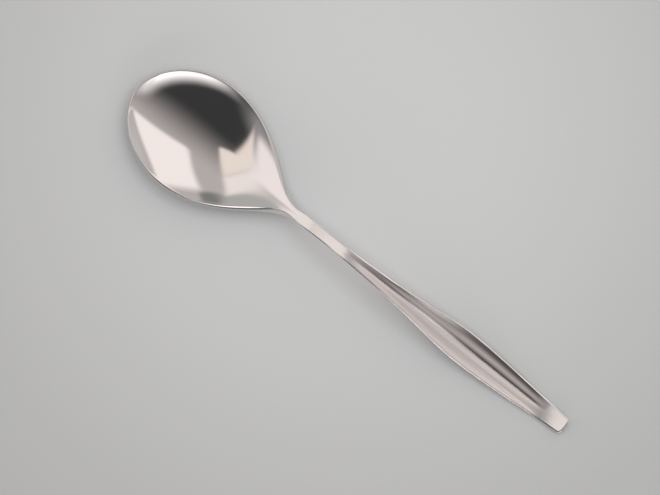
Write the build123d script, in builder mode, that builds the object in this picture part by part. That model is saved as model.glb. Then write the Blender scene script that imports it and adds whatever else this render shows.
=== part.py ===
# Soup spoon, pressed in one piece from a strip of stainless steel.
# X runs along the spoon from the bowl to the handle end, and Z is up.
# The origin lies on the table, under the middle of the spoon's length.
# One half is pressed as a hollow skin, trimmed square to the steel along the
# plan outline and mirrored.
import os
from math import asin, atan, ceil, cos, sin, tan

from build123d import *

# Lengths along the spoon, in millimetres
bowl_length = 75.0
neck_length = 7.0
handle_rise_length = 65.5
handle_taper_length = 47.5
bowl_widest_from_tip = 27.0

# Widths across the spoon
bowl_width = 43.5
neck_width = 4.2
handle_width = 12.4
end_width = 6.5
end_round_length = 1.9

# Heights of the upper face above the table, on the spoon's middle line
tip_height = 8.6
neck_height = 13.6
crown_height = 16.6
end_upturn = 1.3

# Places of the bowl's floor, the top of the handle's arch and its lowest stretch
bowl_floor_from_tip = 29.0
crown_from_neck = 24.0
tail_low_from_end = 13.0

# Thickness of the steel, square to its face
rim_thickness = 1.1
bowl_thickness = 1.5
neck_thickness = 2.9
handle_thickness = 1.6
end_thickness = 1.5

# The pressed handle: where its hollow begins, grows ribs and ends
dish_start_from_neck = 9.0
rib_start_from_neck = 18.0
dish_fade_length = 24.0
dish_stop_from_end = 9.0
dish_stop_length = 9.0

# How far the skin is pressed past the spoon's ends, and the trimmed edge past the steel
overrun = 1.5

# Spacing of the pressed sections
section_pitch = 4.8

# Depth of the hollow, roundness of the back and the skin's spare, to the half width
dish_depth_share = 0.18
back_round_share = 0.07
spare_share = 0.12
nose_spare_share = 0.5
tip_measure_share = 0.12

# Trimmed edge: spacing of the ruled lines in a strip, and of those that give its run
trim_pitch_share = 0.0625
trim_feel_share = 0.0002

# Plan outline: how far each curve keeps the direction of its ends
tip_round_share = 0.506
tip_run_share = 0.463
shoulder_out_share = 0.52
shoulder_in_share = 0.69
rise_out_share = 0.556
rise_in_share = 0.829
taper_out_share = 0.295
taper_in_share = 0.642
taper_width_share = 0.42
end_out_share = 0.8
end_in_share = 0.72

# Side view: the same for the upper face and the rim
nose_run_share = 0.19
nose_drop_share = 0.5
floor_in_share = 0.62
floor_out_share = 0.3
heel_run_share = 0.7
heel_rise_share = 0.645
arch_out_share = 0.28
arch_in_share = 0.6
fall_out_share = 0.27
fall_in_share = 0.46
upturn_share = 0.42
rim_front_share = 0.34
rim_front_rise_share = 0.52
rim_rear_share = 0.88

# Handle's upper face, from the crease out: control heights as shares of its depth
plain_shares = (0.0, 0.23, 0.52, 0.71, 1.0, 1.02, 1.0)
ribbed_shares = (0.0, 0.44, 1.04, -0.59, 1.12, 1.1, 0.98)

overall_length = bowl_length + neck_length + handle_rise_length + handle_taper_length
tip_x = -overall_length / 2
widest_x = tip_x + bowl_widest_from_tip
floor_x = tip_x + bowl_floor_from_tip
neck_start_x = tip_x + bowl_length
neck_end_x = neck_start_x + neck_length
crown_x = neck_end_x + crown_from_neck
handle_widest_x = neck_end_x + handle_rise_length
end_x = handle_widest_x + handle_taper_length
tail_x = end_x - tail_low_from_end

# Nearer the tip than this the bowl keeps the section that it has here
nose_x = tip_x + bowl_widest_from_tip * tip_measure_share


def between(start, stop, share):
    """The value that lies a share of the way from start to stop."""
    return start + (stop - start) * share


def eased(start, stop, place):
    """Rises smoothly from 0 at start to 1 at stop."""
    share = min(max((place - start) / (stop - start), 0), 1)
    return share * share * (3 - 2 * share)


def graded(place, sizes):
    """A size that eases from each of its places to the next."""
    value = sizes[0][1]
    for (start, before), (stop, after) in zip(sizes, sizes[1:]):
        value += (after - before) * eased(start, stop, place)
    return value


def reached(line, place):
    """The share of a line's length where its first coordinate passes a place."""
    low, high = 0.0, 1.0
    for _ in range(40):
        middle = (low + high) / 2
        if (line @ middle).X < place:
            low = middle
        else:
            high = middle
    return low


def reading(line, place):
    """The second coordinate of a line where its first one passes a place."""
    return (line @ reached(line, place)).Y


# Where the handle's taper heads before its rounded end, and its slope there
taper_x = between(handle_widest_x, end_x, taper_in_share)
taper_y = between(end_width / 2, handle_width / 2, taper_width_share)
round_x = end_x - end_round_length
end_slope = (end_width / 2 - taper_y) / (round_x - taper_x)

# Half of the plan outline, from the tip of the bowl round to the handle end
with BuildLine() as half_outline:
    Bezier(
        (tip_x, 0),
        (tip_x, bowl_width / 2 * tip_round_share),
        (between(tip_x, widest_x, tip_run_share), bowl_width / 2),
        (widest_x, bowl_width / 2),
    )
    Bezier(
        (widest_x, bowl_width / 2),
        (between(widest_x, neck_start_x, shoulder_out_share), bowl_width / 2),
        (between(widest_x, neck_start_x, shoulder_in_share), neck_width / 2),
        (neck_start_x, neck_width / 2),
    )
    Line((neck_start_x, neck_width / 2), (neck_end_x, neck_width / 2))
    Bezier(
        (neck_end_x, neck_width / 2),
        (between(neck_end_x, handle_widest_x, rise_out_share), neck_width / 2),
        (between(neck_end_x, handle_widest_x, rise_in_share), handle_width / 2),
        (handle_widest_x, handle_width / 2),
    )
    Bezier(
        (handle_widest_x, handle_width / 2),
        (between(handle_widest_x, end_x, taper_out_share), handle_width / 2),
        (taper_x, taper_y),
        (round_x, end_width / 2),
    )
    Bezier(
        (round_x, end_width / 2),
        (
            between(round_x, end_x, end_out_share),
            end_width / 2 + end_slope * end_round_length * end_out_share,
        ),
        (end_x, end_width / 2 * end_in_share),
        (end_x, 0),
    )
outline_wire = half_outline.wires()[0]

# Slope of the bowl's heel where it runs into the neck
heel_slope = (neck_height - bowl_thickness) * (1 - heel_rise_share)
heel_slope /= (neck_start_x - floor_x) * (1 - heel_run_share)

# Side view of the upper face on the middle line, drawn flat with height as Y
with BuildLine() as keel:
    Bezier(
        (tip_x, tip_height),
        (
            between(tip_x, floor_x, nose_run_share),
            between(tip_height, bowl_thickness, nose_drop_share),
        ),
        (between(tip_x, floor_x, floor_in_share), bowl_thickness),
        (floor_x, bowl_thickness),
    )
    Bezier(
        (floor_x, bowl_thickness),
        (between(floor_x, neck_start_x, floor_out_share), bowl_thickness),
        (
            between(floor_x, neck_start_x, heel_run_share),
            between(bowl_thickness, neck_height, heel_rise_share),
        ),
        (neck_start_x, neck_height),
    )
    Bezier(
        (neck_start_x, neck_height),
        (
            between(neck_start_x, crown_x, arch_out_share),
            neck_height + heel_slope * (crown_x - neck_start_x) * arch_out_share,
        ),
        (between(neck_start_x, crown_x, arch_in_share), crown_height),
        (crown_x, crown_height),
    )
    Bezier(
        (crown_x, crown_height),
        (between(crown_x, tail_x, fall_out_share), crown_height),
        (between(crown_x, tail_x, fall_in_share), end_thickness),
        (tail_x, end_thickness),
    )
    Bezier(
        (tail_x, end_thickness),
        (between(tail_x, end_x, upturn_share), end_thickness),
        (end_x, end_thickness + end_upturn),
    )
keel_wire = keel.wires()[0]

# Side view of the rim of the bowl, from its tip to the neck
with BuildLine() as rim:
    Bezier(
        (tip_x, tip_height),
        (
            between(tip_x, neck_start_x, rim_front_share),
            between(tip_height, neck_height, rim_front_rise_share),
        ),
        (
            between(tip_x, neck_start_x, rim_rear_share),
            neck_height - heel_slope * bowl_length * (1 - rim_rear_share),
        ),
        (neck_start_x, neck_height),
    )
rim_wire = rim.wires()[0]


def keel_height(place):
    """Height of the upper face on the middle line, carried on past both ends."""
    inside = min(max(place, tip_x), end_x)
    end = 0 if place < tip_x else 1
    slope = keel_wire % end
    return reading(keel_wire, inside) + (place - inside) * slope.Y / slope.X


def steel(place):
    """Thickness of the steel on the middle line."""
    return graded(
        place,
        (
            (tip_x, rim_thickness),
            (floor_x, bowl_thickness),
            (neck_start_x, neck_thickness),
            (handle_widest_x, handle_thickness),
            (tail_x, end_thickness),
        ),
    )


def curvature(half_width, depth):
    """Curvature of an arc of that half width and depth."""
    return 2 * depth / (half_width**2 + depth**2)


def bowl_arcs(place):
    """Curvature of the upper and the under arc of the bowl at a place."""
    half_width = reading(outline_wire, place)
    depth = reading(rim_wire, place) - reading(keel_wire, place)
    upper = curvature(half_width, depth)
    edge = graded(place, ((widest_x, rim_thickness), (neck_start_x, neck_thickness)))
    under_depth = depth - edge / cos(asin(half_width * upper)) + steel(place)
    return upper, curvature(half_width, under_depth)


def arc_points(bend, reach, height):
    """Control points of an arc of that curvature, from the middle line out."""
    angle = asin(reach * bend)
    handle = 4 / 3 * tan(angle / 4) / bend
    edge_height = height + reach * tan(angle / 2)
    return (
        (0, height),
        (handle, height),
        (reach - handle * cos(angle), edge_height - handle * sin(angle)),
        (reach, edge_height),
    )


def bowl_curves(place, reach):
    """Upper and under curve of half a section of the bowl."""
    upper, under = bowl_arcs(max(place, nose_x))
    height = keel_height(place)
    return (
        arc_points(upper, reach, height),
        arc_points(under, reach, height - steel(place)),
    )


def handle_curves(place, reach):
    """Upper and under curve of half a section of the neck or handle."""
    half_width = reach / (1 + spare_share)
    ribs = eased(
        neck_end_x + rib_start_from_neck,
        neck_end_x + rib_start_from_neck + dish_fade_length,
        place,
    )
    pressed = eased(
        neck_end_x + dish_start_from_neck,
        neck_end_x + dish_start_from_neck + dish_fade_length,
        place,
    )
    level = eased(
        end_x - dish_stop_from_end - dish_stop_length,
        end_x - dish_stop_from_end,
        place,
    )
    depth = half_width * dish_depth_share * pressed * (1 - level)
    height = keel_height(place)
    heights = [
        height + depth * between(plain, ribbed, ribs)
        for plain, ribbed in zip(plain_shares, ribbed_shares)
    ]
    across = spread(0, reach, len(heights[1:])) + [reach]
    upper = list(zip(across, heights))
    bottom = height - steel(place)
    back = half_width * back_round_share
    under = (
        (0, bottom),
        (reach / 3, bottom),
        (reach * 2 / 3, bottom + back / 3),
        (reach, bottom + back),
    )
    return upper, under


def skin_reach(place):
    """Half width of the pressed skin, a little past the plan outline."""
    if place > round_x:
        return end_width / 2 * (1 + spare_share)
    half_width = reading(outline_wire, max(place, tip_x))
    if place < widest_x:
        half_width = between(half_width, bowl_width / 2, nose_spare_share)
    return half_width * (1 + spare_share)


def spread(start, stop, count):
    """Evenly spaced places from start up to, but not at, stop."""
    return [between(start, stop, number / count) for number in range(count)]


def edge_line(share):
    """Foot and head of the trimmed edge, past both faces, square to the steel.

    Shares below 0 and above 1 lie on the other side of the middle line.
    """
    within = min(abs(share), 2 - share)
    point = outline_wire @ within
    run = outline_wire % within
    lean = 0
    bend = 0
    if point.X < neck_start_x:
        measured = max(point.X, nose_x)
        upper, bend = bowl_arcs(measured)
        steepness = tan(asin(reading(outline_wire, measured) * upper))
        outline_run = outline_wire % reached(outline_wire, measured)
        rim_run = rim_wire % reached(rim_wire, measured)
        lean = atan(steepness / outline_run.X - rim_run.Y / rim_run.X * outline_run.Y)
    rise = point.Y * tan(asin(point.Y * bend) / 2)
    foot = point + Vector(0, 0, keel_height(point.X) - steel(point.X) + rise)
    up = Vector(run.Y * sin(lean), -run.X * sin(lean), cos(lean))
    ends = (foot - up * overrun, foot + up * (steel(point.X) + overrun))
    side = 1 if within == share else -1
    return [Vector(end.X, end.Y * side, end.Z) for end in ends]


def edge_strip(start, stop):
    """The trimmed edge between two shares of the outline, ruled from foot to head."""
    shares = spread(start, stop, ceil(1 / trim_pitch_share)) + [stop]
    points = zip(*(edge_line(share) for share in shares))
    near = [
        (edge_line(end - trim_feel_share), edge_line(end + trim_feel_share))
        for end in (start, stop)
    ]
    runs = zip(*([after - before for before, after in zip(*pair)] for pair in near))
    foot, head = [
        Edge.make_spline(line, tangents=ends, parameters=shares)
        for line, ends in zip(points, runs)
    ]
    return Face.make_surface_from_curves(foot, head)


# The pressed sections: their places, and the upper and under curve of each
bowl_sections = ceil((bowl_length + overrun) / section_pitch)
neck_sections = ceil(neck_length / section_pitch)
handle_sections = ceil((end_x + overrun - neck_end_x) / section_pitch)
bowl_places = spread(tip_x - overrun, neck_start_x, bowl_sections)
handle_places = spread(neck_start_x, neck_end_x, neck_sections)
handle_places += spread(neck_end_x, end_x + overrun, handle_sections)
handle_places.append(end_x + overrun)
sections = [(x, bowl_curves(x, skin_reach(x))) for x in bowl_places]
sections += [(x, handle_curves(x, skin_reach(x))) for x in handle_places]

# The trimmed edge in strips, of which the first and last go on past the middle line
seam_places = (widest_x, neck_start_x, handle_widest_x, round_x)
seams = [reached(outline_wire, place) for place in seam_places]
seams = [-seams[0], *seams, 2 - seams[-1]]
edge_wall = Shell([edge_strip(*ends) for ends in zip(seams, seams[1:])])

with BuildPart() as spoon:
    for place, (upper, under) in sections:
        with BuildSketch(Plane.YZ.offset(place)):
            with BuildLine():
                Bezier(*upper)
                Line(upper[-1], under[-1])
                Bezier(*under)
                Line(under[0], upper[0])
            make_face()
    loft()

    # Trim to the outline, square to the steel
    split(bisect_by=edge_wall, keep=Keep.TOP)
    mirror(about=Plane.XZ)
print("volume", round(spoon.part.volume, 1), "faces", len(spoon.faces()))

os.makedirs("parts", exist_ok=True)
spoon.part.label = "spoon"
export_step(spoon.part, "parts/spoon.step")
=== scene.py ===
# %% [markdown]
# # A soup spoon of stainless steel
# The spoon is one piece of steel: cut from a rolled strip, pressed, trimmed and
# polished. The measured part is loaded first, and everything here is made in its
# frame. The spoon could keep that plain solid and only get a material, but a
# polished surface shows every facet and a sharp edge catches no light. So the
# same lines are drawn again, a finer skin with a rounded edge is laid on them,
# and the skin gets the finish of the real spoon in a small studio.

# %% Load the measured spoon
import math

import bmesh
import bpy
from mathutils import Matrix, Vector


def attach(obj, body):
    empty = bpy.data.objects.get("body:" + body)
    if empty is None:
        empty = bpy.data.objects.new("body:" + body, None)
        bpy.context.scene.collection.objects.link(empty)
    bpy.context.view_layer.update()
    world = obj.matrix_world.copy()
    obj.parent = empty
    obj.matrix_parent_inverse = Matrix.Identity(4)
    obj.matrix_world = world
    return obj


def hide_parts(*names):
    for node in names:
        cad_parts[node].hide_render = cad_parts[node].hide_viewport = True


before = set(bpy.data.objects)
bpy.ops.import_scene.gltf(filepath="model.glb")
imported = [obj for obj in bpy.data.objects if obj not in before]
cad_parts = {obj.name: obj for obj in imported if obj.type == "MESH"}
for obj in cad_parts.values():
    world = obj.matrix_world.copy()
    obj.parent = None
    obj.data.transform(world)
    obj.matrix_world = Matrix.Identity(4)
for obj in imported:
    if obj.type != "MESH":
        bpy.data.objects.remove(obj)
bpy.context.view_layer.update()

# %% [markdown]
# ## Writing nodes as sums
# The skin, the steel, the table and the room are all made of small nodes joined
# by links. They could be linked one by one, but a long list of links hides the
# arithmetic. Here one class wraps an output socket and overloads the operators,
# so that `1 - depth * 2` adds two Math nodes and gives back their result. Every
# other node comes from one call that takes its type, its settings and what goes
# into its sockets.

# %% A socket that can be added and multiplied
class Amount:
    """One output socket of a node tree, for use in sums."""

    def __init__(self, socket):
        self.socket = socket

    def sum_of(self, operation, *amounts):
        """Adds a Math node on these amounts to the tree of this one."""
        nodes = NodeTree(self.socket.id_data)
        amounts = dict(enumerate(amounts))
        return nodes.add("ShaderNodeMath", {"operation": operation}, amounts)

    def maths(self, operation, *others):
        """Adds any other Math node, with this amount first."""
        return self.sum_of(operation, self, *others)

    def __add__(self, other):
        return self.sum_of("ADD", self, other)

    def __radd__(self, other):
        return self.sum_of("ADD", other, self)

    def __sub__(self, other):
        return self.sum_of("SUBTRACT", self, other)

    def __rsub__(self, other):
        return self.sum_of("SUBTRACT", other, self)

    def __mul__(self, other):
        return self.sum_of("MULTIPLY", self, other)

    def __rmul__(self, other):
        return self.sum_of("MULTIPLY", other, self)

    def __truediv__(self, other):
        return self.sum_of("DIVIDE", self, other)

    def __rtruediv__(self, other):
        return self.sum_of("DIVIDE", other, self)

    def __pow__(self, other):
        return self.sum_of("POWER", self, other)

    def __rpow__(self, other):
        return self.sum_of("POWER", other, self)


print("sums with", [name for name in vars(Amount) if name.startswith("__r")])


# %% A node tree that takes any node in one call
class NodeTree:
    """A node tree of the skin, of a material or of the room."""

    def __init__(self, tree):
        self.tree = tree

    def add(self, kind, settings, values, output=0):
        """Adds a node: its settings first, then what its sockets hold."""
        node = self.tree.nodes.new(kind)
        for name, setting in settings.items():
            setattr(node, name, setting)
        for name, value in values.items():
            if isinstance(value, Amount):
                self.tree.links.new(value.socket, node.inputs[name])
            else:
                node.inputs[name].default_value = value
        return Amount(node.outputs[output])

    def parts(self, vector):
        """The X, Y and Z of a vector."""
        split = self.add("ShaderNodeSeparateXYZ", {}, {0: vector})
        return [Amount(output) for output in split.socket.node.outputs]

    def smooth(self, value, start, stop, low=0.0, high=1.0):
        """Eases from low at start to high at stop."""
        values = {0: value, 1: start, 2: stop, 3: low, 4: high}
        settings = {"interpolation_type": "SMOOTHSTEP"}
        return self.add("ShaderNodeMapRange", settings, values)


print("calls of a tree", [name for name in vars(NodeTree) if name[0] != "_"])

# %% [markdown]
# ## The lines of the spoon
# A maker draws a spoon as three lines: the plan outline of one half, the side
# view of its upper face along the middle, which is called the keel here, and
# the side view of the bowl's rim. They could be long lists of points, but a few
# Bezier curves hold the same shape in a handful of sizes and stay smooth at any
# number of steps. X runs from the bowl to the handle's end, and the sizes are
# those of the measured part, so that the skin fits it.

# %% Sizes of the spoon in millimetres
end_x = 97.5
tip_x = -end_x
widest_x, floor_x = tip_x + 27, tip_x + 29
neck_start_x = tip_x + 75
neck_end_x = neck_start_x + 7
crown_x, handle_widest_x = neck_end_x + 24, neck_end_x + 65.5
end_round = 1.9
tail_x, round_x = end_x - 13, end_x - end_round
bowl_half, neck_half, handle_half, end_half = 21.75, 2.1, 6.2, 3.25
tip_height, neck_height, crown_height, end_lift = 8.6, 13.6, 16.6, 1.3
rim_steel, bowl_steel, neck_steel = 1.1, 1.5, 2.9
handle_steel, end_steel = 1.6, 1.5
print("length", end_x - tip_x, "bowl width", 2 * bowl_half)


# %% Draw a line as a chain of Bezier curves
# Upright means that a size across or above is drawn as a height
line_steps = 512


def draw_line(name, pieces):
    """A curve from Bezier pieces of four points each, drawn upright."""
    data = bpy.data.curves.new(name, "CURVE")
    data.dimensions = "3D"
    spline = data.splines.new("BEZIER")
    spline.bezier_points.add(len(pieces))
    spline.resolution_u = line_steps
    for number, point in enumerate(spline.bezier_points):
        before = pieces[max(number - 1, 0)]
        after = pieces[min(number, len(pieces) - 1)]
        knot = after[0] if number < len(pieces) else before[3]
        left = before[2] if number > 0 else knot
        right = after[1] if number < len(pieces) else knot
        point.handle_left_type = point.handle_right_type = "FREE"
        point.co = (knot[0], 0, knot[1])
        point.handle_left = (left[0], 0, left[1])
        point.handle_right = (right[0], 0, right[1])
    line = bpy.data.objects.new(name, data)
    bpy.context.scene.collection.objects.link(line)
    print(name, "drawn with", len(spline.bezier_points), "points")
    return line


def between(start, stop, share):
    """The value a share of the way from start to stop."""
    return start + (stop - start) * share


def straight(start, stop):
    """A straight piece of a line, with its handles at the thirds."""
    handles = [
        tuple(between(*ends, share) for ends in zip(start, stop))
        for share in (1 / 3, 2 / 3)
    ]
    return (start, *handles, stop)


# %% [markdown]
# ### The plan outline
# The half outline swells from the tip to the bowl's widest place, draws in to
# the neck, swells to the handle's widest place and tapers to a squared end. The
# shares say how far each curve keeps the direction of its ends: the larger they
# are, the fuller the curve. They were read off the part's plan, and a share
# stays true when a length changes, which a point wouldn't.

# %% The outline of one half
tip_round, tip_run = 0.506, 0.463
shoulder_out, shoulder_in = 0.52, 0.69
rise_out, rise_in = 0.556, 0.829
taper_out, taper_in, taper_width = 0.295, 0.642, 0.42
end_out, end_in = 0.8, 0.72

taper_x = between(handle_widest_x, end_x, taper_in)
taper_y = between(end_half, handle_half, taper_width)
taper_slope = (end_half - taper_y) / (round_x - taper_x)
outline = draw_line("outline", [
    ((tip_x, 0), (tip_x, bowl_half * tip_round),
     (between(tip_x, widest_x, tip_run), bowl_half),
     (widest_x, bowl_half)),
    ((widest_x, bowl_half),
     (between(widest_x, neck_start_x, shoulder_out), bowl_half),
     (between(widest_x, neck_start_x, shoulder_in), neck_half),
     (neck_start_x, neck_half)),
    straight((neck_start_x, neck_half), (neck_end_x, neck_half)),
    ((neck_end_x, neck_half),
     (between(neck_end_x, handle_widest_x, rise_out), neck_half),
     (between(neck_end_x, handle_widest_x, rise_in), handle_half),
     (handle_widest_x, handle_half)),
    ((handle_widest_x, handle_half),
     (between(handle_widest_x, end_x, taper_out), handle_half),
     (taper_x, taper_y),
     (round_x, end_half)),
    ((round_x, end_half),
     (between(round_x, end_x, end_out), end_half + taper_slope * end_round * end_out),
     (end_x, end_half * end_in),
     (end_x, 0)),
])

# %% [markdown]
# ### The side view
# Seen from the side, the upper face drops from the tip to the bowl's floor,
# climbs the heel to the neck, arches over the crown and comes down to the table,
# where the end lifts a little so that a finger gets under it. Each piece starts
# in the direction in which the one before it ends, so that no crease shows in
# the polish. The keel runs a little past both ends of the spoon, so that the
# rounded edge still finds a height there. The bowl's rim is a line of its own. It
# climbs from the tip to the neck in one sweep, and could be flat, but then the
# bowl would look like a dish.

# %% The keel, from the tip to the lifted end
nose_run, nose_drop = 0.19, 0.5
floor_in, floor_out = 0.62, 0.3
heel_run, heel_rise = 0.7, 0.645
arch_out, arch_in = 0.28, 0.6
fall_out, fall_in = 0.27, 0.46
upturn_run = 0.42
spare = 3.0

nose_x = between(tip_x, floor_x, nose_run)
nose_z = between(tip_height, bowl_steel, nose_drop)
nose_slope = (nose_z - tip_height) / (nose_x - tip_x)
heel_slope = (neck_height - bowl_steel) * (1 - heel_rise)
heel_slope /= (neck_start_x - floor_x) * (1 - heel_run)
upturn_x, upturn_z = between(tail_x, end_x, upturn_run), end_steel + end_lift
upturn_slope = (upturn_z - end_steel) / (end_x - upturn_x)
keel = draw_line("keel", [
    straight((tip_x - spare, tip_height - nose_slope * spare), (tip_x, tip_height)),
    ((tip_x, tip_height), (nose_x, nose_z),
     (between(tip_x, floor_x, floor_in), bowl_steel),
     (floor_x, bowl_steel)),
    ((floor_x, bowl_steel),
     (between(floor_x, neck_start_x, floor_out), bowl_steel),
     (between(floor_x, neck_start_x, heel_run),
      between(bowl_steel, neck_height, heel_rise)),
     (neck_start_x, neck_height)),
    ((neck_start_x, neck_height),
     (between(neck_start_x, crown_x, arch_out),
      neck_height + heel_slope * (crown_x - neck_start_x) * arch_out),
     (between(neck_start_x, crown_x, arch_in), crown_height),
     (crown_x, crown_height)),
    ((crown_x, crown_height),
     (between(crown_x, tail_x, fall_out), crown_height),
     (between(crown_x, tail_x, fall_in), end_steel),
     (tail_x, end_steel)),
    ((tail_x, end_steel),
     (between(tail_x, upturn_x, 2 / 3), end_steel),
     (between(upturn_x, end_x, 1 / 3), between(end_steel, upturn_z, 1 / 3)),
     (end_x, upturn_z)),
    straight((end_x, upturn_z), (end_x + spare, upturn_z + upturn_slope * spare)),
])
print("slope of the heel", round(heel_slope, 3))

# %% The rim of the bowl, from the tip to the neck
rim_front, rim_front_rise, rim_rear = 0.34, 0.52, 0.88
rim = draw_line("rim", [
    ((tip_x, tip_height),
     (between(tip_x, neck_start_x, rim_front),
      between(tip_height, neck_height, rim_front_rise)),
     (between(tip_x, neck_start_x, rim_rear),
      neck_height - heel_slope * (neck_start_x - tip_x) * (1 - rim_rear)),
     (neck_start_x, neck_height)),
])

# %% [markdown]
# ## The tree that lays the skin
# The skin could be lofted in mesh code, point by point. It is laid by Geometry
# Nodes instead, because its shape follows a rule: each section of the spoon is
# given by what the three lines say at that place. The sizes are named inputs of
# the tree, so that the steel can be made thicker, or the edge rounder, without a
# change to the rule. The material is named here and gets its nodes later.

# %% The tree and its named inputs
steel_finish = bpy.data.materials.new("stainless steel")
given = {
    "NodeSocketObject": {"Outline": outline, "Keel": keel, "Rim": rim},
    "NodeSocketFloat": {
        "Bowl edge radius": 0.25,
        "Handle edge radius": 0.65,
        "Rim steel": rim_steel,
        "Bowl steel": bowl_steel,
        "Neck steel": neck_steel,
        "Handle steel": handle_steel,
        "End steel": end_steel,
        "Hollow depth": 0.18,
        "Back roundness": 0.07,
    },
    "NodeSocketMaterial": {"Finish": steel_finish},
}
skin_tree = bpy.data.node_groups.new("spoon skin", "GeometryNodeTree")
sockets = skin_tree.interface
sockets.new_socket("Geometry", in_out="OUTPUT", socket_type="NodeSocketGeometry")
settings_of_skin = {}
for kind, inputs in given.items():
    for name, value in inputs.items():
        socket = sockets.new_socket(name, in_out="INPUT", socket_type=kind)
        settings_of_skin[socket.identifier] = value
skin_nodes = NodeTree(skin_tree)
entry = skin_tree.nodes.new("NodeGroupInput")
size = {}
for inputs in given.values():
    size.update({name: Amount(entry.outputs[name]) for name in inputs})
print("inputs of the skin", list(size))

# %% [markdown]
# ## Reading a size off a line
# Every section needs the half width, the height of the keel and the height of
# the rim at its place. Sampling a curve by its length doesn't give that, because
# the length along a curved line isn't the place along the spoon. So each line is
# pulled out sideways into a ribbon, and a ray dropped on it from above, like a
# ruler, lands on the height that the line has there.

# %% Ribbons and the ruler
ribbon_width, ruler_height = 2, 80


def vector_of(x, y, z):
    """A vector from its three parts."""
    return skin_nodes.add("ShaderNodeCombineXYZ", {}, {0: x, 1: y, 2: z})


def ribbon(name):
    """A line as a curve, and pulled out sideways for the ruler to land on."""
    values = {"Object": size[name]}
    drawn = skin_nodes.add("GeometryNodeObjectInfo", {}, values, "Geometry")
    wire = skin_nodes.add("GeometryNodeCurveToMesh", {}, {"Curve": drawn})
    values = {"Mesh": wire, "Offset": vector_of(0, ribbon_width, 0)}
    return drawn, skin_nodes.add("GeometryNodeExtrudeMesh", {"mode": "EDGES"}, values)


def read(band, place):
    """The height of a ribbon at a place along the spoon."""
    values = {
        "Target Geometry": band,
        "Source Position": vector_of(place, ribbon_width / 2, ruler_height),
        "Ray Direction": (0, 0, -1),
        "Ray Length": 2 * ruler_height,
    }
    hit = skin_nodes.add("GeometryNodeRaycast", {}, values, "Hit Position")
    return skin_nodes.parts(hit)[2]


outline_curve, outline_band = ribbon("Outline")
keel_band = ribbon("Keel")[1]
rim_band = ribbon("Rim")[1]
print("nodes for the ribbons", len(skin_tree.nodes))

# %% [markdown]
# ## The steel's thickness
# The strip of a good spoon is graded before it is pressed: stout at the neck,
# where the spoon would bend, and thin at the rim, which goes to the lips. A
# Solidify modifier would give it one thickness all over. Here the thickness is
# read off the place along the spoon, eased from one named size to the next.

# %% Thickness of the steel along the spoon
def steel_at(place):
    """Thickness on the middle line, eased from each size to the next."""
    thickness = size["Rim steel"]
    for start, stop, before, after in (
        (tip_x, floor_x, "Rim steel", "Bowl steel"),
        (floor_x, neck_start_x, "Bowl steel", "Neck steel"),
        (neck_start_x, handle_widest_x, "Neck steel", "Handle steel"),
        (handle_widest_x, tail_x, "Handle steel", "End steel"),
    ):
        share = skin_nodes.smooth(place, start, stop)
        thickness = thickness + share * (size[after] - size[before])
    return thickness


def choose(share, first, second):
    """First where the share is 1, second where it is 0."""
    return second + (first - second) * share


print("steel from", rim_steel, "mm at the rim to", neck_steel, "mm at the neck")

# %% [markdown]
# ## The bowl
# The bowl of a real spoon is struck into a die, and across the spoon it is close
# to a round arc. A sculpted hollow would wobble, and the mirror polish would show
# it. So both faces are true arcs: the upper one passes through the keel and the
# rim, and the under one lies a thickness of steel below it at both places.

# %% Arcs of the bowl
# Nearer the tip than the nose section the bowl keeps the arc that it has there,
# and no arc is flatter than this depth, or measured nearer the neck than this gap
nose_section_x = between(tip_x, widest_x, 0.12)
flattest, neck_gap = 0.0005, 0.01


def arc_radius(half, depth):
    """Radius of an arc that is this deep at this half width."""
    return (half * half + depth * depth) / (depth * 2)


def on_arc(lowest, radius, out):
    """Height of an arc at a distance out from its lowest point."""
    return lowest + radius - (radius * radius - out * out).maths("SQRT")


def bowl_faces(place, out, level, bottom):
    """Heights of the bowl's upper and under face."""
    measured = place.maths("MAXIMUM", nose_section_x)
    measured = measured.maths("MINIMUM", neck_start_x - neck_gap)
    half = read(outline_band, measured)
    depth = read(rim_band, measured) - read(keel_band, measured)
    depth = depth.maths("MAXIMUM", flattest)
    radius = arc_radius(half, depth)
    towards_neck = skin_nodes.smooth(place, widest_x, neck_start_x)
    edge = choose(towards_neck, size["Neck steel"], size["Rim steel"])
    # The steel leans at the rim, so it measures more from top to bottom than it
    # does square to its face
    lean = (1 - (half / radius) ** 2).maths("SQRT")
    under_depth = depth - edge / lean + steel_at(measured)
    under_radius = arc_radius(half, under_depth.maths("MAXIMUM", flattest))
    return on_arc(level, radius, out), on_arc(bottom, under_radius, out)


print("nose section at", round(nose_section_x, 2), "mm along the spoon")

# %% [markdown]
# ## The handle
# The handle's face has a crease in the middle with a rib and a flute on each
# side, all pressed together, and it fades to a plain face at the neck and at the
# end. Ribs could be separate pieces that are joined on, but then a seam would
# show. Here one smooth curve gives the height from the crease outwards. It is set
# by a few control heights, as shares of the hollow's depth, and the ribbed curve
# fades into a plain one towards the neck.

# %% Pressed face of the handle
plain_heights = (0.0, 0.23, 0.52, 0.71, 1.0, 1.02, 1.0)
ribbed_heights = (0.0, 0.44, 1.04, -0.59, 1.12, 1.1, 0.98)
press_width = 1.12
fade_length = 24
hollow_start_x, rib_start_x = neck_end_x + 9, neck_end_x + 18
hollow_fade_x, hollow_stop_x = end_x - 18, end_x - 9


def pressed_form(share, heights):
    """Height of the face from its control heights, 0 at the crease."""
    total, order = 0, len(heights) - 1
    for number, height in enumerate(heights):
        weight = math.comb(order, number) * height
        if weight:
            total = share**number * (1 - share) ** (order - number) * weight + total
    return total


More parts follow.
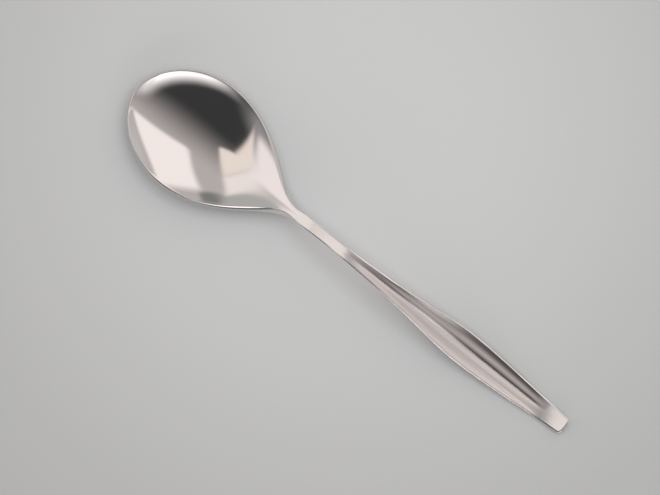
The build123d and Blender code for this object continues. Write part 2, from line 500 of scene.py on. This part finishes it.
def handle_faces(place, out, level, bottom):
    """Heights of the handle's upper and under face."""
    measured = place.maths("MINIMUM", round_x).maths("MAXIMUM", neck_start_x)
    half = read(outline_band, measured)
    share = (out / (half * press_width)).maths("MINIMUM", 1.0)
    ribs = skin_nodes.smooth(place, rib_start_x, rib_start_x + fade_length)
    pressed = skin_nodes.smooth(place, hollow_start_x, hollow_start_x + fade_length)
    flat = skin_nodes.smooth(place, hollow_fade_x, hollow_stop_x)
    hollow = half * size["Hollow depth"] * pressed * (1 - flat)
    ribbed, plain = (pressed_form(share, h) for h in (ribbed_heights, plain_heights))
    upper = level + hollow * choose(ribs, ribbed, plain)
    return upper, bottom + half * size["Back roundness"] * share * share


print("hollow from", hollow_start_x, "to", hollow_stop_x, "mm along the spoon")

# %% [markdown]
# ## One pair of faces for the whole spoon
# On the real spoon nothing tells where the bowl ends and the handle starts. Two
# meshes would have to be joined there. So one rule serves both: up to the start
# of the neck it gives the bowl's faces, and past it the handle's. The upper face
# is flat across at that place, so the two meet there without a step.

# %% Both faces of the whole spoon
def face_heights(place, out):
    """Heights of the upper and the under face at a place and distance out."""
    level = read(keel_band, place)
    bottom = level - steel_at(place)
    handle = handle_faces(place, out, level, bottom)
    bowl = bowl_faces(place, out, level, bottom)
    on_handle = place.maths("GREATER_THAN", neck_start_x)
    return [choose(on_handle, *faces) for faces in zip(handle, bowl)]


print("the handle's faces start at", neck_start_x, "mm along the spoon")

# %% [markdown]
# ## The grid
# A skin could be shrunk on or remeshed, but then its points lie anywhere, and the
# reflections tremble. A grid that is laid by rule has its points in neat rows.
# One side of the grid runs along the outline, with the stations closer together
# at both ends, where it turns sharply. The other side goes once round a section:
# out over the upper face, round the edge, and back in under the spoon.

# %% Stations along the outline
across_steps, edge_steps, stations = 40, 11, 401
crowding = 0.8

round_steps = 4 * across_steps + 2 * edge_steps
values = {"Vertices X": stations, "Vertices Y": round_steps + 1}
grid = skin_nodes.add("GeometryNodeMeshGrid", {}, {"Size X": 1, "Size Y": 1, **values})
grid_place = skin_nodes.add("GeometryNodeInputPosition", {}, {})
grid_x, grid_y, _ = skin_nodes.parts(grid_place)
along = grid_x + 0.5
along = along - (along * math.tau).maths("SINE") * (crowding / math.tau)
values = {"Curves": outline_curve, "Factor": along}
sample = skin_nodes.add("GeometryNodeSampleCurve", {"mode": "FACTOR"}, values)
position, tangent = (
    Amount(sample.socket.node.outputs[name]) for name in ("Position", "Tangent")
)
edge_x, _, edge_y = skin_nodes.parts(position)
run_x, _, run_y = skin_nodes.parts(tangent)
out_x, out_y = run_y * -1, run_x
print("grid of", stations, "by", round_steps, "points")

# %% Turns round a section
# Side is 1 on one half of the spoon and -1 on the other. Reached goes from 0 on
# the middle line to 1 where the edge starts, and bend from 0 there to a quarter
# turn at the outline.
side = grid_y.maths("LESS_THAN", 0.0) * 2 - 1
turn = 1 - (grid_y * 2).maths("ABSOLUTE")
on_top = turn.maths("LESS_THAN", 0.5)
turn = choose(on_top, turn, 1 - turn)
face_share = across_steps / (2 * across_steps + edge_steps)
reached = (turn / face_share).maths("MINIMUM", 1.0)
bend = (turn - face_share) / (0.5 - face_share) * (edge_steps / (edge_steps - 1))
bend = bend.maths("MAXIMUM", 0.0).maths("MINIMUM", 1.0) * (math.pi / 2)
print("share of a half turn on one face", round(2 * face_share, 3))

# %% [markdown]
# ## The edge
# The edge of a real spoon is trimmed square to the steel and then buffed, which
# rounds it: lightly on the bowl, more on the handle, where it is held. A Bevel
# modifier would round it too, but it needs a clean sharp edge to find. Here the
# faces stop short of the outline, by an inset that depends on how steeply the
# steel meets its edge, and the grid's last steps turn round what is left.

# %% How the steel meets its edge
# The rise is measured over a short step in from the outline, and the radius is
# never more than this share of the thickness
step_in = 0.3
fullest_round = 0.48
handle_edge_starts_x, handle_edge_full_x = neck_start_x - 6, neck_end_x + 12

edge_top, edge_under = face_heights(edge_x, edge_y)
inner_top = face_heights(edge_x - out_x * step_in, edge_y - out_y * step_in)[0]
rise = ((edge_top - inner_top) / step_in).maths("ARCTANGENT").maths("MAXIMUM", 0.0)
rise_cos, rise_sin = rise.maths("COSINE"), rise.maths("SINE")
thick = (edge_top - edge_under) * rise_cos
on_handle = skin_nodes.smooth(edge_x, handle_edge_starts_x, handle_edge_full_x)
edge_radius = choose(on_handle, size["Handle edge radius"], size["Bowl edge radius"])
edge_radius = edge_radius.maths("MINIMUM", thick * fullest_round)
top_inset = edge_radius + (thick - edge_radius) * rise_sin
under_inset = edge_radius * (1 - rise_sin)
inset = choose(on_top, top_inset, under_inset)
print("nodes so far", len(skin_tree.nodes))

# %% [markdown]
# ## The sections
# A section that is cut straight across would run along the edge at the tip and at
# the end, and its points would crowd into slivers. So the sections start from a
# place on the middle line that leads the outline there, and they fan out to the
# edge. The lead grows evenly, because one that turned back would fold the skin.

# %% Points of a section, from the middle line to the edge
bowl_lead, end_lead, end_lead_length = 14, 2.6, 5.2

on_nose = edge_x.maths("LESS_THAN", widest_x)
nose_lead = (1 - (edge_y / bowl_half) ** 2) * bowl_lead * on_nose
near_end = (edge_x - (end_x - end_lead_length)) / end_lead_length
near_end = near_end.maths("MAXIMUM", 0.0)
spine_x = edge_x + nose_lead - near_end * near_end * end_lead
start_x = spine_x + (edge_x - out_x * inset - spine_x) * reached
start_y = (edge_y - out_y * inset) * reached
start_z = choose(on_top, *face_heights(start_x, start_y))
print("sections lead by up to", bowl_lead, "mm at the tip")

# %% [markdown]
# ### Round the edge and close the skin
# The last steps of each section swing round the edge, first off the upper face
# and then off the under one, and meet halfway in the trimmed wall. The rows that
# land on each other, along the middle line and in that wall, could be sewn by
# hand. Merge by Distance closes them all, and then the skin shrinks from
# millimetres to metres, which is what Blender and the measured part use.

# %% Turn round the edge, close the skin and give it its finish
closing_gap = 0.004
millimetre = (0.001, 0.001, 0.001)

sign = on_top * 2 - 1
bend_sin, bend_cos = bend.maths("SINE"), bend.maths("COSINE")
step_out = edge_radius * (bend_sin * rise_cos + sign * (1 - bend_cos) * rise_sin)
step_up = edge_radius * (bend_sin * rise_sin - sign * (1 - bend_cos) * rise_cos)
point_x, point_y = start_x + out_x * step_out, side * (start_y + out_y * step_out)
skin = grid
for kind, values in (
    ("SetPosition", {"Position": vector_of(point_x, point_y, start_z + step_up)}),
    ("MergeByDistance", {"Distance": closing_gap}),
    ("Transform", {"Scale": millimetre}),
    ("SetShadeSmooth", {}),
    ("RealizeInstances", {}),
    ("SetMaterial", {"Material": size["Finish"]}),
):
    skin = skin_nodes.add("GeometryNode" + kind, {}, {"Geometry": skin, **values})
leave = skin_tree.nodes.new("NodeGroupOutput")
skin_tree.links.new(skin.socket, leave.inputs["Geometry"])
print("nodes in the tree", len(skin_tree.nodes))

# %% [markdown]
# ## The steel
# The bowl is polished like a mirror, while the neck and handle are brushed
# lengthwise. It could be two materials with a seam between them, but the polish
# fades into the brushing over a centimetre, so one material with masks along the
# spoon comes closer. The brush lines could be a picture. Noise that is drawn out
# along the spoon never repeats, needs no file, and is as fine as it has to be.

# %% Masks along the spoon
# Each fade goes from 0 to 1 between two places, in millimetres along X
steel_finish.use_nodes = True
steel_nodes = NodeTree(steel_finish.node_tree)
on_spoon = steel_nodes.add("ShaderNodeTexCoord", {}, {}, "Object")
spoon_x, spoon_y, _ = steel_nodes.parts(on_spoon)
along_mm, side_mm = spoon_x * 1000, spoon_y * 1000

brush_fade, rib_fade_in, rib_fade_out = (-31, -17), (-4, 10), (91, 81)
brushed = steel_nodes.smooth(along_mm, *brush_fade)
ribbed = steel_nodes.smooth(along_mm, *rib_fade_in)
ribbed = ribbed * steel_nodes.smooth(along_mm, *rib_fade_out)
print("nodes for the masks", len(steel_nodes.tree.nodes))

# %% Brush lines, the colour of the steel and a painted highlight on the neck and end
# A grain is its lengths in millimetres along X, Y and Z, and its scale
fine_grain, broad_grain = ((90, 1, 40), 3.0), ((120, 1, 40), 1.1)
fine_share, streak_fade = 0.6, (0.36, 0.64)
pale_line, dark_line = (0.88, 0.845, 0.83, 1), (0.75, 0.715, 0.705, 1)
# The plain neck and end are buffed. Their paler, cooler colour than the bowl's is a
# painted highlight that brightens and cools their reflection
polished, buffed_painted_highlight = (0.75, 0.735, 0.725, 1), (0.79, 0.80, 0.82, 1)


def noise(lengths, scale):
    """Noise drawn out to these lengths, at a scale."""
    factors = tuple(1000 / length for length in lengths)
    settings, values = {"operation": "MULTIPLY"}, {0: on_spoon, 1: factors}
    place = steel_nodes.add("ShaderNodeVectorMath", settings, values)
    values = {"Vector": place, "Scale": scale, "Detail": 2.0, "Roughness": 0.6}
    return steel_nodes.add("ShaderNodeTexNoise", {}, values, "Fac")


def mixed(nodes, mask, first, second):
    """A colour between two others, by a mask."""
    settings, values = {"data_type": "RGBA"}, {0: mask, 6: first, 7: second}
    return nodes.add("ShaderNodeMix", settings, values, 2)


lines = noise(*fine_grain) * fine_share + noise(*broad_grain) * (1 - fine_share)
streaks = steel_nodes.smooth(lines, *streak_fade)
colour = mixed(steel_nodes, streaks, pale_line, dark_line)
colour = mixed(steel_nodes, 1 - ribbed, colour, buffed_painted_highlight)
colour = mixed(steel_nodes, brushed, polished, colour)
print("nodes for the colour", len(steel_nodes.tree.nodes))

# %% [markdown]
# ## How rough the steel is
# Brushing scatters the light, and polish doesn't. On the real handle the half
# that faces the window scatters it most, the plain neck and end are smoother, and
# the buffed edge is nearly a mirror again. Each of these could be a material of
# its own. As shares of one roughness they fade into each other, as they do where
# a buffing wheel has passed.

# %% Roughness of the bowl, the handle and the edge
# The lit half is told by millimetres across, and the edge by how level it faces
mirror, cloudiness, line_roughness = 0.07, 0.02, 0.08
lit_grain, far_grain, plain_grain, edge_grain = 0.42, 0.08, 0.07, 0.05
lit_fade, edge_fade = (0.6, 0.1), (0.93, 0.80)
cloud_lengths, cloud_scale = (8, 6, 6), 1.0

lit_half = steel_nodes.smooth(side_mm, *lit_fade)
grain = choose(ribbed, choose(lit_half, lit_grain, far_grain), plain_grain)
facing = steel_nodes.add("ShaderNodeNewGeometry", {}, {}, "Normal")
upright = steel_nodes.parts(facing)[2].maths("ABSOLUTE")
grain = choose(steel_nodes.smooth(upright, *edge_fade), edge_grain, grain)
cloud = noise(cloud_lengths, cloud_scale)
roughness = mirror + cloud * cloudiness + brushed * (grain + lines * line_roughness)
print("roughness from", mirror, "in the bowl to", lit_grain, "more on the handle")

# %% [markdown]
# ## Which way the steel faces
# The real neck catches the light as if it rose up to 14 degrees more than the
# measured part, the end up to 9 degrees more, and the handle as if it leaned 7
# degrees to one side. The mesh could be bent, but it would leave the measured
# solid, whose side view is a guess. A Bump node turns only how the faces catch
# the light: it takes a height, and here that height climbs by these slopes. The
# fine depth of the brush lines goes in with it.

# %% Climbs of the neck and the end, and the lean of the handle
neck_climb, end_climb, handle_lean = 0.24, 0.15, 0.115
neck_rises, neck_levels, end_rises = (-18, -6), (-6, 6), (76, 88)
lean_fade_in, lean_fade_out = (-10, 4), (94, 76)
line_depth = 0.03


def climb(start, stop, slope):
    """A height whose slope grows from 0 at start to this one at stop."""
    share = (along_mm - start) / (stop - start)
    share = share.maths("MAXIMUM", 0.0).maths("MINIMUM", 1.0)
    beyond = (along_mm - stop).maths("MAXIMUM", 0.0)
    return share * share * (slope * (stop - start) / 2) + beyond * slope


steeper = climb(*neck_rises, neck_climb) - climb(*neck_levels, neck_climb)
steeper = steeper + climb(*end_rises, end_climb)
leaning = steel_nodes.smooth(along_mm, *lean_fade_in)
leaning = leaning * steel_nodes.smooth(along_mm, *lean_fade_out)
steeper = steeper - side_mm * leaning * handle_lean
height = lines * brushed * line_depth + steeper
# The height is in millimetres, and the distance turns it into metres
values = {"Height": height, "Strength": 1.0, "Distance": 0.001}
relief = steel_nodes.add("ShaderNodeBump", {}, values)
for name, slope in {"neck": neck_climb, "end": end_climb, "lean": handle_lean}.items():
    print(name, "up to", round(math.degrees(math.atan(slope)), 1), "degrees more")

# %% Join colour, roughness and relief in the steel's shader
steel_shader = steel_finish.node_tree.nodes["Principled BSDF"]
steel_shader.inputs["Metallic"].default_value = 1.0
finishes = {"Base Color": colour, "Roughness": roughness, "Normal": relief}
for name, value in finishes.items():
    steel_finish.node_tree.links.new(value.socket, steel_shader.inputs[name])
print("nodes of the steel", len(steel_finish.node_tree.nodes))

# %% [markdown]
# ## The finished skin
# The tree is now laid on an empty object, and what it makes is turned into a
# plain mesh. The modifier could stay, but a plain mesh can be measured and is
# what every exporter reads. A closed skin has two faces at each edge, and its
# volume is positive only where it faces outwards. At last it takes the place of
# the measured solid.

# %% Lay the skin and turn it into a plain mesh
carrier = bpy.data.objects.new("carrier", bpy.data.meshes.new("carrier"))
bpy.context.scene.collection.objects.link(carrier)
modifier = carrier.modifiers.new("skin", "NODES")
modifier.node_group = skin_tree
for identifier, value in settings_of_skin.items():
    modifier[identifier] = value
bpy.context.view_layer.update()
evaluated = carrier.evaluated_get(bpy.context.evaluated_depsgraph_get())
skin_mesh = bpy.data.meshes.new_from_object(evaluated)
skin_mesh.name = "spoon_skin"
spoon_skin = bpy.data.objects.new("spoon_skin", skin_mesh)
bpy.context.scene.collection.objects.link(spoon_skin)
for helper in (carrier, outline, keel, rim):
    bpy.data.objects.remove(helper)
print("skin faces", len(skin_mesh.polygons))

# %% Measure the skin and put it in the solid's place
shape = bmesh.new()
shape.from_mesh(skin_mesh)
open_edges = sum(1 for edge in shape.edges if len(edge.link_faces) != 2)
volume = shape.calc_volume(signed=True) * 1e9
shape.free()
points = [vertex.co * 1000 for vertex in skin_mesh.vertices]
for axis, name in enumerate("xyz"):
    reach = sorted(point[axis] for point in points)
    print("skin", name, "from", round(reach[0], 2), "to", round(reach[-1], 2), "mm")
print("open edges", open_edges, "volume", round(volume), "mm3")
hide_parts("spoon")
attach(spoon_skin, "root")

# %% [markdown]
# ## The table
# The spoon lies on plain pale paper. Its colour holds a painted pool of light: paler
# near a place beside the spoon and darker away from it. The darkening could come from
# the lamp, but a small lamp near the table would also sharpen the spoon's shadow. So
# the falloff of the light is painted into the paper's colour, by the distance from
# that place, and the light can stay soft.

# %% Pale paper with a painted pool of light
paper_reach, paper_roughness = 3, 0.9
painted_light_centre, painted_light_radius, painted_shade_radius = (-0.032, 0.034, 0), 0.03, 0.2
pale, painted_shade_paper = (0.585, 0.585, 0.585, 1), (0.452, 0.452, 0.452, 1)

corners = [(-1, -1), (1, -1), (1, 1), (-1, 1)]
corners = [(x * paper_reach, y * paper_reach, 0) for x, y in corners]
floor_mesh = bpy.data.meshes.new("floor")
floor_mesh.from_pydata(corners, [], [(0, 1, 2, 3)])
floor = bpy.data.objects.new("floor", floor_mesh)
bpy.context.scene.collection.objects.link(floor)
paper = bpy.data.materials.new("pale paper")
paper.use_nodes = True
paper_nodes = NodeTree(paper.node_tree)
on_paper = paper_nodes.add("ShaderNodeTexCoord", {}, {}, "Object")
# Painted light: the paper is paler near a place beside the spoon and darker away from
# it, as the lamp's light would fall off
settings, values = {"operation": "DISTANCE"}, {0: on_paper, 1: painted_light_centre}
painted_light_falloff = paper_nodes.add("ShaderNodeVectorMath", settings, values, "Value")
painted_light_falloff = paper_nodes.smooth(painted_light_falloff, painted_light_radius, painted_shade_radius)
paper_shader = paper.node_tree.nodes["Principled BSDF"]
paper_colour = mixed(paper_nodes, painted_light_falloff, pale, painted_shade_paper)
paper.node_tree.links.new(paper_colour.socket, paper_shader.inputs["Base Color"])
paper_shader.inputs["Roughness"].default_value = paper_roughness
floor_mesh.materials.append(paper)
print("paper", 2 * paper_reach, "m wide")

# %% [markdown]
# ## The camera
# The photograph is taken from straight above, with the spoon turned a little more
# than 38 degrees in the picture. The spoon could be turned under the camera, but
# the part has to stay in its frame, so the camera is turned instead. It hangs a
# metre above the table, so that the bowl and the table come out at almost the
# same scale. The lens follows from how many pixels a metre of table takes.

# %% Camera above the table
picture_width, picture_height = 660, 495
pixels_per_metre = 2790
# Place of the spoon's origin in the picture, in pixels from its top left
origin_across, origin_down = 351.8, 258.4
camera_height, sensor = 1.0, 36

turned = math.radians(38.4)
right = Vector((math.cos(turned), math.sin(turned), 0))
up = Vector((-math.sin(turned), math.cos(turned), 0))
centre = right * ((picture_width / 2 - origin_across) / pixels_per_metre)
centre += up * ((origin_down - picture_height / 2) / pixels_per_metre)
camera_data = bpy.data.cameras.new("camera")
camera_data.sensor_width = sensor
camera_data.lens = sensor * camera_height * pixels_per_metre / picture_width
camera = bpy.data.objects.new("camera", camera_data)
bpy.context.scene.collection.objects.link(camera)
raised = Matrix.Translation(centre + Vector((0, 0, camera_height)))
camera.matrix_world = raised @ Matrix.Rotation(turned, 4, "Z")
bpy.context.scene.camera = camera
print("lens", round(camera_data.lens, 1), "mm")

# %% [markdown]
# ## The room
# A polished bowl has hardly a colour of its own. It shows the whole room above
# it, so the room gives the steel its look. The room could be a picture that is
# wrapped round the scene, or a set of lamps, but a picture is a file, and each
# lamp would light the table too. Here it is drawn in the world's shader as a few
# soft panels. A direction is flattened to two numbers, as on a round map of the
# sky: `across` to the picture's right and `upward` to its top. Both are 0
# overhead, and the horizon is a circle of radius 1.

# %% A round map of the sky
world = bpy.data.worlds.new("studio")
world.use_nodes = True
room = NodeTree(world.node_tree)
direction = room.add("ShaderNodeTexCoord", {}, {}, "Generated")


def dot(axis):
    """How far the direction goes along an axis."""
    settings, values = {"operation": "DOT_PRODUCT"}, {0: direction, 1: axis}
    return room.add("ShaderNodeVectorMath", settings, values, "Value")


overhead = dot((0, 0, 1))
sideways = (1 - overhead * overhead).maths("MAXIMUM", 1e-6).maths("SQRT")
stretch = overhead.maths("ARCCOSINE") * (2 / math.pi) / sideways
across, upward = dot(tuple(right)) * stretch, dot(tuple(up)) * stretch
out_from_top = (across * across + upward * upward).maths("SQRT")
print("nodes for the map", len(world.node_tree.nodes))

# %% [markdown]
# ### Walls and panels
# Each panel is a colour laid over what is there, where its mask is 1. A mask is
# the product of a few soft steps, one for each side of the panel, so that a panel
# can have slanted and soft sides with no mesh. The colours are what the steel
# should show. It reflects three quarters of the light, so the room is brighter
# by that share.

# %% Grey walls, dark overhead and towards the bottom of the picture
steel_reflects = 0.75


def panel(base, mask, colour):
    """Lays a panel over the room, in the colour that the steel shows."""
    colour = tuple(channel / steel_reflects for channel in colour)
    return mixed(room, mask, base, (*colour, 1))


darkest = (0.048, 0.048, 0.049, 1)
brighter_upward = room.smooth(across * 0.6 + upward * 0.8, -0.30, 0.36)
sky = panel(darkest, brighter_upward, (0.44, 0.405, 0.395))
lower_left = room.smooth(across, -0.54, -0.90) * room.smooth(upward, -0.70, -0.25)
sky = panel(sky, lower_left, (0.34, 0.33, 0.33))
right_wall = room.smooth(across, 0.55, 0.66) * room.smooth(upward, -0.1, 0.45)
sky = panel(sky, right_wall, (0.50, 0.48, 0.47))
post = room.smooth(across, -0.06, 0.08) * room.smooth(across, 0.20, 0.14)
post = post * room.smooth(upward - across * 0.35, 0.66, 0.74)
sky = panel(sky, post, (0.19, 0.19, 0.19))
print("nodes with the walls", len(world.node_tree.nodes))

# %% The large soft box, towards the top right of the picture
soft_box = room.smooth(across * 0.447 + upward * 0.894, 0.18, 0.25)
soft_box = soft_box * room.smooth(across, 0.10, 0.18)
soft_box = soft_box * room.smooth(across + upward * 0.1, 0.62, 0.57)
soft_box = soft_box * room.smooth(upward - across * 0.25, 0.78, 0.62)
sky = panel(sky, soft_box, (0.88, 0.81, 0.785))
print("nodes with the soft box", len(world.node_tree.nodes))

# %% [markdown]
# ### The window side
# To the left of the picture the bowl shows a grey wall that is paler towards the
# top, a bright slanted pane with a thin darker seam, and one more bright panel
# beyond it. Three lamps could make them, but a lamp has straight sides only. As
# masks, their slanted sides are single steps across the map.

# %% The window side: a grey wall, a pane with a seam, and what is beyond it
slant = across - upward
near_side = across + 0.204 - (upward - 0.064) * 0.30
far_side = across + 0.60 - (upward + 0.12) * 0.69

low_wall, high_wall = (0.33, 0.32, 0.32, 1), (0.53, 0.513, 0.507, 1)
wall = mixed(room, room.smooth(upward, -0.4, 0.02), low_wall, high_wall)
on_wall = room.smooth(slant, -0.39, -0.46) * room.smooth(near_side, 0.02, -0.04)
sky = mixed(room, on_wall, sky, wall)
window = room.smooth(near_side, 0.01, -0.03) * room.smooth(far_side, -0.015, 0.025)
corner = room.smooth(upward, 0.05, 0.10) * room.smooth(slant, -0.27, -0.31)
pane = room.smooth(slant, -0.39, -0.44).maths("MAXIMUM", corner)
sky = panel(sky, window * pane, (0.78, 0.69, 0.63))
seam = room.smooth(slant, -0.515, -0.52)
sky = panel(sky, window * seam, (0.66, 0.60, 0.57))
past_seam = room.smooth(slant, -0.535, -0.545)
sky = panel(sky, window * past_seam, (0.80, 0.73, 0.70))
beyond = room.smooth(far_side - (upward + 0.3) * 0.2, -0.03, -0.10)
beyond = beyond * room.smooth(upward + across * 0.6, 0.16, -0.08)
beyond = beyond * room.smooth(upward + across * 0.35, -0.595, -0.415)
sky = panel(sky, beyond, (0.83, 0.75, 0.74))
print("nodes with the window", len(world.node_tree.nodes))

# %% The bright panel low at the bottom of the picture
from_left = ((across + 0.3) ** 2 + (upward - 0.1) ** 2).maths("SQRT")
low_panel = room.smooth(from_left, 0.67, 0.90) * room.smooth(across, -0.78, -0.3)
low_panel = low_panel * room.smooth(upward, -0.2, -0.4)
low_panel = low_panel * room.smooth(across, 0.08, 0.58, 1.0, 0.12)
low_panel = low_panel * room.smooth(out_from_top, 0.96, 0.88)
sky = panel(sky, low_panel, (1.5, 1.43, 1.42))
print("nodes with the low panel", len(world.node_tree.nodes))

# %% [markdown]
# ### The horizon
# The trimmed edge faces sideways and shows what stands at table height all round:
# dark towards the bottom left of the picture, pale towards the top right. That
# draws the thin dark and bright lines along the edges of the real spoon. They
# could be painted on the steel, but then they would stay where they are when the
# spoon is turned. A narrow strip of room gives them as real reflections.

# %% The strip along the horizon, which only the trimmed edge shows
dark_strip, pale_strip = (0.10, 0.10, 0.10, 1), (0.62, 0.60, 0.60, 1)
paler_upward = room.smooth(across * 0.62 + upward * 0.78, -0.2, 0.6)
strip = mixed(room, paler_upward, dark_strip, pale_strip)
sky = mixed(room, room.smooth(out_from_top, 0.92, 0.965), sky, strip)
background = world.node_tree.nodes["Background"]
world.node_tree.links.new(sky.socket, background.inputs["Color"])
background.inputs["Strength"].default_value = 1.0
bpy.context.scene.world = world
print("nodes of the room", len(world.node_tree.nodes))

# %% [markdown]
# ## The lamp
# The photograph's light is soft and comes from nearly overhead, a little from the
# top right, so the shadow shows as a faint rim to the lower left. The room alone
# would give no shadow side. One large area lamp gives it, and hides itself from
# the steel, so that the bowl shows the room and no bright square.

# %% A large soft lamp
lamp_distance, lamp_rightward, lamp_upward = 1.1, 0.10, 0.12

lamp_data = bpy.data.lights.new("fill", "AREA")
lamp_data.shape = "SQUARE"
lamp_data.size = 0.9
lamp_data.energy = 6.4
lamp_data.color = (0.9, 0.98, 1)
lamp = bpy.data.objects.new("fill", lamp_data)
bpy.context.scene.collection.objects.link(lamp)
towards_lamp = right * lamp_rightward + up * lamp_upward + Vector((0, 0, 1))
towards_lamp = towards_lamp.normalized()
lamp.location = towards_lamp * lamp_distance
lamp.rotation_euler = towards_lamp.to_track_quat("Z", "Y").to_euler()
lamp.visible_glossy = False
bpy.context.scene.view_settings.view_transform = "Standard"
print("lamp at", [round(part, 2) for part in lamp.location])

# %% [markdown]
